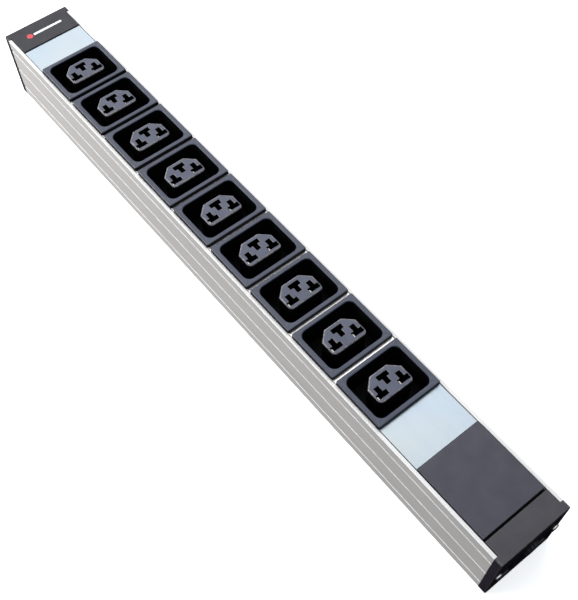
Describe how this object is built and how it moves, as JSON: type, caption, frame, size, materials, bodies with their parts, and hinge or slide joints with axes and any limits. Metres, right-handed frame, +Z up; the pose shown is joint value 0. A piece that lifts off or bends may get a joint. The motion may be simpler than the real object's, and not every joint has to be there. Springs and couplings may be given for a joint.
{
  "type": "rack power strip",
  "caption": "Slim square-section aluminium power strip with recessed three-pin cord-connector outlets, dark end caps and a lift-off wiring cover.",
  "frame": {"origin": "centre of the flat base, under the middle of the strip's whole length", "axes": "+X along the strip from the badge end to the cable end, +Y across it, +Z up out of the outlets"},
  "size_m": [0.439, 0.0444, 0.0468],
  "materials": {
    "anodised_aluminium": "satin anodised extrusion with a fine lengthwise grain",
    "satin_aluminium": "smooth satin anodised strip",
    "outlet_plastic": "fine-grained dark grey moulding, glossier inside the well",
    "core_plastic": "fine-grained dark grey moulding",
    "carrier_plastic": "plain moulding, out of sight",
    "contact_brass": "stamped brass, nickel plated at the fork tips",
    "tray_plastic": "natural insulating plastic",
    "block_plastic": "off-white moulded polyamide",
    "clamp_brass": "machined brass",
    "plated_steel": "zinc plated",
    "tinned_copper": "tinned copper stamping",
    "lead_insulation": "green insulation with a yellow stripe",
    "cover_plastic": "very fine even grain",
    "cap_plastic": "very fine even grain",
    "badge_white": "smooth white inlay",
    "badge_red": "smooth red inlay",
    "screw_steel": "bright nickel plated",
    "gland_plastic": "black moulded polyamide"
  },
  "bodies": {
    "strip": {"housing": "anodised_aluminium", "front_strip": "satin_aluminium", "outlet_frame_1": "outlet_plastic", "outlet_frame_2": "outlet_plastic", "outlet_frame_3": "outlet_plastic", "outlet_frame_4": "outlet_plastic", "outlet_frame_5": "outlet_plastic", "outlet_frame_6": "outlet_plastic", "outlet_frame_7": "outlet_plastic", "outlet_frame_8": "outlet_plastic", "outlet_frame_9": "outlet_plastic", "outlet_core_1": "core_plastic", "outlet_core_2": "core_plastic", "outlet_core_3": "core_plastic", "outlet_core_4": "core_plastic", "outlet_core_5": "core_plastic", "outlet_core_6": "core_plastic", "outlet_core_7": "core_plastic", "outlet_core_8": "core_plastic", "outlet_core_9": "core_plastic", "contact_carrier_1": "carrier_plastic", "contact_carrier_2": "carrier_plastic", "contact_carrier_3": "carrier_plastic", "contact_carrier_4": "carrier_plastic", "contact_carrier_5": "carrier_plastic", "contact_carrier_6": "carrier_plastic", "contact_carrier_7": "carrier_plastic", "contact_carrier_8": "carrier_plastic", "contact_carrier_9": "carrier_plastic", "line_rail": "contact_brass", "neutral_rail": "contact_brass", "earth_rail": "contact_brass", "insulating_tray": "tray_plastic", "terminal_block": "block_plastic", "terminal_clamps": "clamp_brass", "terminal_screws": "plated_steel", "earth_stud": "plated_steel", "earth_spacer": "plated_steel", "earth_lug": "tinned_copper", "earth_lead": "lead_insulation", "toothed_washer": "plated_steel", "earth_nut": "plated_steel", "badge_cap": "cap_plastic", "badge_bar": "badge_white", "badge_dot": "badge_red", "badge_cap_screws": "screw_steel", "cable_cap": "cap_plastic", "cable_cap_screws": "screw_steel", "cable_gland": "gland_plastic", "gland_nut": "gland_plastic"},
    "cover": {"connection_cover": "cover_plastic"}
  },
  "joints": [
    {"name": "cover_lift", "type": "slide", "parent": "strip", "child": "cover", "axis": [0, 0, 1], "range_m": [0, 0.016]}
  ]
}
